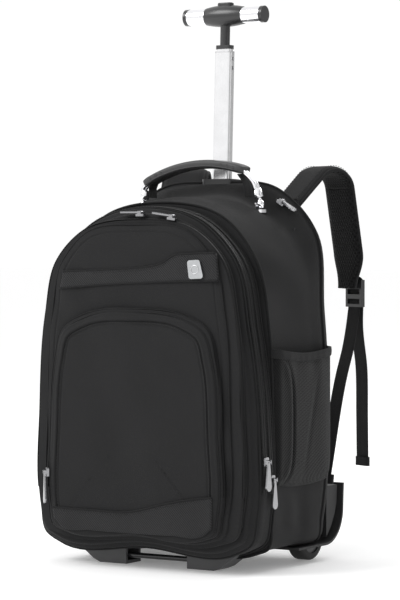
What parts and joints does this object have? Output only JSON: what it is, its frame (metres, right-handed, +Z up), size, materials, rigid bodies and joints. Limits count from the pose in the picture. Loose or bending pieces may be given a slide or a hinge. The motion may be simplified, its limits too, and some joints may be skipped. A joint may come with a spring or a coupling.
{
  "type": "wheeled laptop backpack",
  "caption": "Black soft laptop backpack on a moulded wheeled base, with a telescopic T-grip trolley, padded shoulder straps, top carry handle and zipped compartments.",
  "frame": {"origin": "centre of the whole footprint on the floor, straps included", "axes": "+Z up, +X to the right seen from the front, +Y to the back where the straps are; the front pocket faces -Y"},
  "size_m": [0.3508, 0.3738, 0.7275],
  "materials": {
    "shell_fabric": "matt black padded polyester",
    "trim_fabric": "diagonal twill trim",
    "stretch_mesh": "stretch mesh",
    "zip_tape": "coated zip tape",
    "air_mesh": "honeycomb air mesh",
    "webbing": "woven webbing",
    "badge_metal": "satin",
    "frame_plastic": "fine grain",
    "base_plastic": "fine grain",
    "foot_plastic": "satin",
    "rod_black": "gloss",
    "tyre": "matt",
    "hub_plastic": "gloss",
    "axle_steel": "turned",
    "tube_aluminium": "polished",
    "collar_plastic": "satin",
    "grip_plastic": "satin",
    "handle_chrome": "polished",
    "handle_rubber": "moulded",
    "pull_gunmetal": "dark nickel",
    "buckle_plastic": "satin"
  },
  "bodies": {
    "bag": {"main_shell": "shell_fabric", "second_compartment_shell": "shell_fabric", "front_compartment_shell": "shell_fabric", "front_pocket_shell": "shell_fabric", "zip_tapes": "zip_tape", "upper_trim_band": "trim_fabric", "lower_trim_band": "trim_fabric", "badge_plate": "badge_metal", "side_pockets": "stretch_mesh", "side_pocket_hems": "webbing", "back_frame_sheet": "frame_plastic", "laptop_divider": "shell_fabric", "bottom_board": "frame_plastic", "back_pad": "air_mesh", "base_guard": "base_plastic", "wheel_bay_cover": "base_plastic", "wheel_housings": "base_plastic", "axles": "axle_steel", "front_feet": "foot_plastic", "foot_rod": "rod_black", "base_screws": "axle_steel", "trolley_outer_tube": "tube_aluminium", "trolley_top_collar": "collar_plastic", "trolley_base_block": "collar_plastic", "carry_handle_anchors": "handle_chrome", "shoulder_straps": "air_mesh", "strap_root_patches": "trim_fabric", "ladder_locks": "buckle_plastic", "lower_webbings": "webbing", "webbing_tails": "webbing", "lower_strap_tabs": "webbing"},
    "middle_stage": {"trolley_middle_tube": "tube_aluminium", "middle_tube_guide": "collar_plastic", "middle_tube_lip": "tube_aluminium"},
    "inner_stage": {"trolley_inner_tube": "tube_aluminium", "lock_pin_block": "collar_plastic", "grip_centre": "grip_plastic", "grip_sleeves": "tube_aluminium", "grip_end_caps": "grip_plastic"},
    "release": {"release_button": "grip_plastic"},
    "lock": {"lock_pin": "axle_steel"},
    "wheel_right": {"wheel_hub_right": "hub_plastic", "tyre_right": "tyre"},
    "wheel_left": {"wheel_hub_left": "hub_plastic", "tyre_left": "tyre"},
    "carry_handle": {"carry_handle_grip": "handle_rubber", "carry_handle_rods": "handle_chrome", "carry_handle_webbing": "webbing"},
    "main_upper_slider": {"main_upper_slider": "pull_gunmetal"},
    "main_upper_pull": {"main_upper_pull": "pull_gunmetal"},
    "main_lower_slider": {"main_lower_slider": "pull_gunmetal"},
    "main_lower_pull": {"main_lower_pull": "pull_gunmetal"},
    "front_left_slider": {"front_left_slider": "pull_gunmetal"},
    "front_left_pull": {"front_left_pull": "pull_gunmetal"},
    "front_right_slider": {"front_right_slider": "pull_gunmetal"},
    "front_right_pull": {"front_right_pull": "pull_gunmetal"},
    "pocket_slider": {"pocket_slider": "pull_gunmetal"},
    "pocket_pull": {"pocket_pull": "pull_gunmetal"},
    "laptop_slider": {"laptop_slider": "pull_gunmetal"},
    "laptop_pull": {"laptop_pull": "pull_gunmetal"}
  },
  "joints": [
    {"name": "middle_stage_slide", "type": "slide", "parent": "bag", "child": "middle_stage", "axis": [0, 0.0384, 0.9993], "range_m": [-0.16, 0.09]},
    {"name": "inner_stage_slide", "type": "slide", "parent": "middle_stage", "child": "inner_stage", "axis": [0, 0.0384, 0.9993], "range_m": [0, 0.25]},
    {"name": "release_press", "type": "slide", "parent": "inner_stage", "child": "release", "axis": [0, 0.0384, 0.9993], "range_m": [-0.004, 0], "stiffness_N_per_m": 500, "springref_m": 0.001},
    {"name": "lock_pin_slide", "type": "slide", "parent": "inner_stage", "child": "lock", "axis": [1, 0, 0], "range_m": [-0.003, 0]},
    {"name": "wheel_right_spin", "type": "hinge", "parent": "bag", "child": "wheel_right", "pos_m": [0.125, 0.0376, 0.031], "axis": [1, 0, 0], "continuous": true},
    {"name": "wheel_left_spin", "type": "hinge", "parent": "bag", "child": "wheel_left", "pos_m": [-0.125, 0.0376, 0.031], "axis": [1, 0, 0], "continuous": true},
    {"name": "carry_handle_tilt", "type": "hinge", "parent": "bag", "child": "carry_handle", "pos_m": [0, -0.01741, 0.459], "axis": [1, 0, 0], "range_deg": [-15, 32]},
    {"name": "main_upper_zip", "type": "slide", "parent": "bag", "child": "main_upper_slider", "axis": [0, 0, 1], "range_m": [0, 0.1]},
    {"name": "main_upper_pull_swing", "type": "hinge", "parent": "main_upper_slider", "child": "main_upper_pull", "pos_m": [0.1734, -0.1379, 0.141], "axis": [0, -1, 0], "range_deg": [0, 165]},
    {"name": "main_lower_zip", "type": "slide", "parent": "bag", "child": "main_lower_slider", "axis": [0, 0, 1], "range_m": [-0.02, 0.1]},
    {"name": "main_lower_pull_swing", "type": "hinge", "parent": "main_lower_slider", "child": "main_lower_pull", "pos_m": [0.1734, -0.12291, 0.118], "axis": [0, -1, 0], "range_deg": [0, 165]},
    {"name": "front_left_zip", "type": "slide", "parent": "bag", "child": "front_left_slider", "axis": [1, 0, 0], "range_m": [-0.06, 0]},
    {"name": "front_left_pull_swing", "type": "hinge", "parent": "front_left_slider", "child": "front_left_pull", "pos_m": [0.004, -0.16561, 0.449], "axis": [0, 1, 0], "range_deg": [0, 150]},
    {"name": "front_right_zip", "type": "slide", "parent": "bag", "child": "front_right_slider", "axis": [0.9903, 0, -0.1392], "range_m": [0, 0.03]},
    {"name": "front_right_pull_swing", "type": "hinge", "parent": "front_right_slider", "child": "front_right_pull", "pos_m": [0.05075, -0.16561, 0.44425], "axis": [0, 1, 0], "range_deg": [0, 165]},
    {"name": "pocket_zip", "type": "slide", "parent": "bag", "child": "pocket_slider", "axis": [0, 0, 1], "range_m": [-0.01, 0.1]},
    {"name": "pocket_pull_swing", "type": "hinge", "parent": "pocket_slider", "child": "pocket_pull", "pos_m": [-0.13257, -0.18197, 0.118], "axis": [-0.7071, 0.7071, 0], "range_deg": [0, 165]},
    {"name": "laptop_zip", "type": "hinge", "parent": "bag", "child": "laptop_slider", "pos_m": [0.03257, 0.0056, 0.35133], "axis": [0, 1, 0], "range_deg": [-5, 40]},
    {"name": "laptop_pull_swing", "type": "hinge", "parent": "laptop_slider", "child": "laptop_pull", "pos_m": [0.10882, 0.0056, 0.46508], "axis": [0, -1, 0], "range_deg": [0, 165]}
  ],
  "couplings": [
    {"joint": "lock_pin_slide", "follows": "release_press", "ratio": 0.75}
  ]
}
